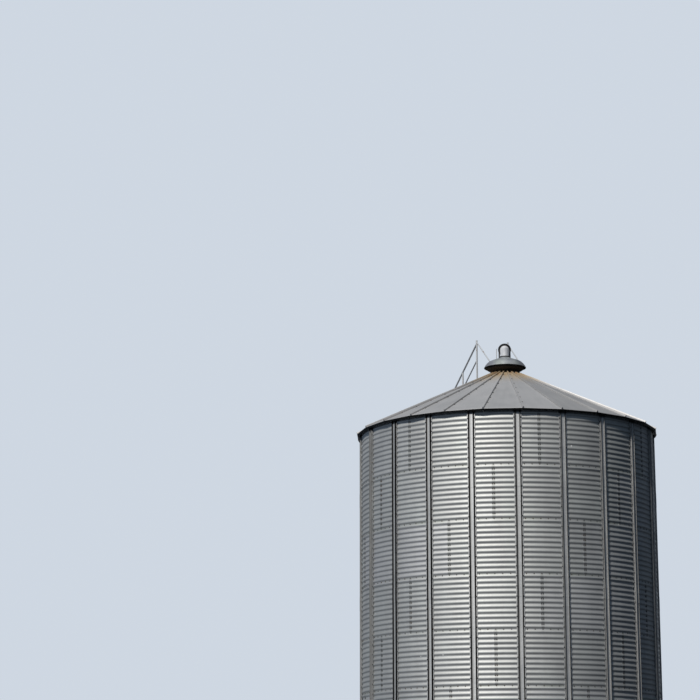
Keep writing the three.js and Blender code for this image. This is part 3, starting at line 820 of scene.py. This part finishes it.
# Painted shade: the hood's underside is painted near black.
under = ramp(facing_up(start), -0.35, 0.0, 1.0, 0.0)
underside_shaded = blend(under * 0.95, zinc, (0.012, 0.011, 0.010, 1))
green = ramp(noise(where, 3, 2), 0.5, 0.7) * 0.35
coat(start, relief=cloud + fine * 0.2, depth=0.004, Base_Color=blend(green, underside_shaded, (0.33, 0.38, 0.33, 1)),
     Roughness=0.58 + grain * 0.1 + fine * 0.1, Metallic=0.45 - under * 0.4)
make_piece("hood_lid", shell(hood_skin, HOOD_STEEL, 96), hood_finish, "hood_steel", "hood")

# Inlet. A pale painted pipe that stands in the neck of the hood on a dark gasket, and turns up
# towards the rear in a mitred bend. A dark ring on two flat legs holds its mouth.
PIPE_RADIUS = 0.100
PIPE_SIDES = 64
PIPE_STEEL = 0.004
PIPE_FOOT = 11.885
GASKET = [(0.1005, 11.904), (0.115, 11.904), (0.115, 11.928), (0.1005, 11.928)]
BEND_HEIGHT = 12.060
SPOUT_RISE = math.radians(29.5)
SPOUT_AXIS = np.array([0, math.cos(SPOUT_RISE), math.sin(SPOUT_RISE)])
SPOUT_UP = np.array([0, -math.sin(SPOUT_RISE), math.cos(SPOUT_RISE)])
SPIGOT = 0.095
BAND = [(0.1003, -0.030), (0.143, -0.030), (0.143, 0.0), (0.1003, 0.0)]
BAND_MIDDLE = SPOUT_AXIS * (SPIGOT - 0.015) + [0, 0, BEND_HEIGHT]
LEG_OFFSET = 0.118
LEG_FOOT_OFFSET = 0.130


def rectangle(width, depth, radius):
    """A rectangle about the origin with rounded corners."""
    x, y = width / 2, depth / 2
    return softened([(-x, -y), (x, -y), (x, y), (-x, y)], radius)


def mitred_pipe(radius):
    """The rings of a pipe that goes up, turns at the bend and ends square at its mouth."""
    turn = 2 * np.pi * np.arange(PIPE_SIDES) / PIPE_SIDES
    x, y = radius * np.cos(turn), radius * np.sin(turn)
    mitre = math.tan((math.pi / 2 - SPOUT_RISE) / 2)
    lowest = np.column_stack([x, y, np.full(PIPE_SIDES, PIPE_FOOT)])
    bend = np.column_stack([x, y, BEND_HEIGHT - y * mitre])
    end = x[:, None] * [1, 0, 0] - y[:, None] * SPOUT_UP + SPOUT_AXIS * SPIGOT + [0, 0, BEND_HEIGHT]
    return [lowest, bend, end]


def tube_of(outer, inner):
    """A hollow tube between outer rings and inner rings of points."""
    rings = np.array(outer + inner[::-1])
    count, segments = rings.shape[:2]
    index = np.arange(count * segments).reshape(count, segments)
    above = np.roll(index, -1, axis=0)
    faces = np.stack([index, np.roll(index, -1, axis=1), np.roll(above, -1, axis=1), above], -1)
    return rings.reshape(-1, 3), [faces.reshape(-1, 4)]


pipe_finish, start = new_finish("painted_pipe")
where = place(start)
cloud = noise(where, 6, 5)
runs = noise(scaled(where, 30, 30, 2), 1, 4)
paint = blend(ramp(cloud * 0.6 + runs * 0.4, 0.3, 0.7), (0.62, 0.635, 0.68, 1), (0.82, 0.83, 0.86, 1))
coat(start, relief=cloud, depth=0.002, Base_Color=paint, Roughness=0.42 + runs * 0.15, Metallic=0.25)
make_piece("inlet_pipe", tube_of(mitred_pipe(PIPE_RADIUS), mitred_pipe(PIPE_RADIUS - PIPE_STEEL)),
           pipe_finish, "pipe_steel", "inlet_elbow")

dark_finish, start = new_finish("dark_band")
where = place(start)
fine = noise(where, 35, 4)
dark = blend(fine, (0.018, 0.018, 0.02, 1), (0.06, 0.06, 0.065, 1))
coat(start, relief=fine, depth=0.001, Base_Color=dark, Roughness=0.5 + fine * 0.2, Metallic=0.3)
make_piece("inlet_gasket", turned(softened(GASKET, 0.004), PIPE_SIDES), dark_finish, "dark_steel")

points, faces = turned(softened(BAND, 0.003), PIPE_SIDES)
points = (points[:, :1] * [1, 0, 0] - points[:, 1:2] * SPOUT_UP
          + (points[:, 2:] + SPIGOT) * SPOUT_AXIS + [0, 0, BEND_HEIGHT])
solids = [(points, faces)]
seat = hood_height(math.hypot(LEG_OFFSET, BAND_MIDDLE[1]))
for side in (-1, 1):
    leg = rectangle(0.028, 0.040, 0.002) + [side * LEG_OFFSET, BAND_MIDDLE[1]]
    leg_foot = rectangle(0.060, 0.060, 0.006) + [side * LEG_FOOT_OFFSET, BAND_MIDDLE[1]]
    solids.append(extruded(leg, seat - 0.004, BAND_MIDDLE[2]))
    solids.append(extruded(leg_foot, seat - 0.012, seat + 0.004))
make_piece("clamp_band", joined(solids), dark_finish, "dark_steel", "clamp_ring")

# Roof stair. Two channel stringers with folded treads between, laid on the ribs of one panel at
# the rear, and on each side a handrail of round tube with a stay down to the hood. A thin rod
# stands on the hood beside the inlet pipe.
STAIR_ANGLE = FIRST_RIB + 13.5 * PANEL
STAIR_OUT = around(1.0, STAIR_ANGLE, 0.0)
STAIR_SIDE = np.array([-STAIR_OUT[1], STAIR_OUT[0], 0.0])
STAIR_WIDTH = 0.740
STAIR_TOP = 0.640
STAIR_FOOT = 3.230
STRINGER = 0.070
CHANNEL = [(0.004, -0.035), (0.004, 0.035), (-0.018, 0.035), (-0.018, 0.031), (0.0, 0.031), (0.0, -0.031),
           (-0.018, -0.031), (-0.018, -0.035)]
TREADS = 9
TREAD_MARGIN = 0.12
TREAD = [(-0.042, -0.012), (-0.042, 0.005), (0.042, 0.005), (0.042, -0.012), (0.045, -0.012),
         (0.045, 0.008), (-0.045, 0.008), (-0.045, -0.012)]
STAIR_UP = STAIR_OUT * math.sin(LEAN) + np.array([0, 0, math.cos(LEAN)])
POSTS = [0.800, 1.770, 2.740]
HEAD_POST = 1.160
TOP_RAIL = 1.080
MID_RAIL = 0.700
TUBE_RADIUS = 0.019
MID_TUBE_RADIUS = 0.015
POST_PLATE = 0.008
STAY_RADIUS = 0.013
STAY_FOOT = 0.355
stringer_foot = (RIB_HEIGHT + 0.0003) / math.cos(LEAN)
stringer_middle = stringer_foot + STRINGER / math.cos(LEAN) / 2
stringer_top = stringer_foot + STRINGER / math.cos(LEAN)


def on_stair(radius, side, above):
    """A point at a distance out along the stair, to one side of it, and above the panel."""
    level = roof_height(radius / math.cos(PANEL / 2)) + above
    return STAIR_OUT * radius + STAIR_SIDE * side + np.array([0, 0, level])


def rod(path, radius, sides=12):
    """A round bar or tube along a line of points, closed at both ends."""
    path = np.asarray(path, float)
    along = np.gradient(path, axis=0)
    along /= np.linalg.norm(along, axis=1, keepdims=True)
    turn = 2 * np.pi * np.arange(sides) / sides
    reference = np.array([0.31, 0.17, 0.93]) if abs(along[0][2]) < 0.9 else np.array([0.93, 0.17, 0.31])
    rings = []
    for point, direction in zip(path, along):
        side = np.cross(reference, direction)
        side /= np.linalg.norm(side)
        up = np.cross(direction, side)
        rings.append(point + radius * (np.cos(turn)[:, None] * side + np.sin(turn)[:, None] * up))
    index = np.arange(len(path) * sides).reshape(len(path), sides)
    right = np.roll(index, -1, axis=1)
    walls = np.stack([index[:-1], right[:-1], right[1:], index[1:]], -1).reshape(-1, 4)
    return np.concatenate(rings), [walls, index[:1, ::-1], index[-1:]]


stair_finish = rusty_finish("walkway_zinc", (0.36, 0.365, 0.37, 1), 0.12)
rail_finish = rusty_finish("rail_zinc", (0.62, 0.63, 0.645, 1), 0.04, metal=0.4)
solids = []
for side in (-1, 1):
    outline = np.array([(x * side, y) for x, y in CHANNEL][::side])
    edge = side * STAIR_WIDTH / 2
    solids.append(bar(outline, on_stair(STAIR_FOOT, edge, stringer_middle),
                      on_stair(STAIR_TOP, edge, stringer_middle), STAIR_UP))
inset = STAIR_WIDTH / 2 - 0.001
for radius in np.linspace(STAIR_FOOT - TREAD_MARGIN, STAIR_TOP + TREAD_MARGIN, TREADS):
    solids.append(bar(softened(TREAD, 0.002), on_stair(radius, -inset, stringer_middle),
                      on_stair(radius, inset, stringer_middle), STAIR_UP))
make_piece("stair_flight", joined(solids), stair_finish, "walkway_steel", "roof_stair")

for name, side in (("left", 1), ("right", -1)):
    offset = side * STAIR_WIDTH / 2
    foot = stringer_top + POST_PLATE
    solids = []
    for radius, head in zip(POSTS, (HEAD_POST, TOP_RAIL, TOP_RAIL)):
        solids.append(rod([on_stair(radius, offset, foot), on_stair(radius, offset, head)], TUBE_RADIUS))
        lower, upper = [on_stair(radius + step, offset, foot - 0.001) for step in (0.045, -0.045)]
        solids.append(bar(rectangle(0.060, POST_PLATE, 0.002), lower, upper, STAIR_UP))
    for height, radius in ((TOP_RAIL, TUBE_RADIUS), (MID_RAIL, MID_TUBE_RADIUS)):
        ends = [on_stair(POSTS[-1] + 0.15, offset, height), on_stair(POSTS[0], offset, height)]
        solids.append(rod(ends, radius))
    make_piece(f"{name}_rail", joined(solids), rail_finish, "walkway_steel", f"{name}_handrail")

for name, side in (("left", 1), ("right", -1)):
    head = on_stair(POSTS[0], side * STAIR_WIDTH / 2, HEAD_POST - 0.038)
    foot = STAIR_SIDE * side * STAY_FOOT + np.array([0, 0, hood_height(STAY_FOOT) - 0.002])
    stay = rod([foot, head], STAY_RADIUS)
    make_piece(f"{name}_stay_rod", stay, rail_finish, "walkway_steel", f"{name}_stay")

rod_foot = np.array([-0.180, 0.070, hood_height(0.193) - 0.002])
rod_head = rod_foot + np.array([0.004, 0, 0.255])
make_piece("hood_rod", rod([rod_foot, rod_head], 0.009), rail_finish, "hood_steel")

# Foot. The rolled angle inside the wall keeps its shape and gets a rusty zinc finish. Outside, each
# upright stands in a flat shoe cut from plate.
SHOE = [(-0.08, -3.275), (0.08, -3.275), (0.08, -3.236), (-0.08, -3.236)]
SHOE_STEEL = 0.010
foot_finish = rusty_finish("foot_zinc", (0.42, 0.43, 0.435, 1), 0.15)
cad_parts["base_ring"].data.materials.clear()
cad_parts["base_ring"].data.materials.append(foot_finish)
points, faces = extruded(softened(SHOE, 0.004), 0.0, SHOE_STEEL)
solids = [(turned_by(points, bay * BAY), faces) for bay in range(BAYS)]
make_piece("anchor_shoes", joined(solids), foot_finish, "stiffener_steel")
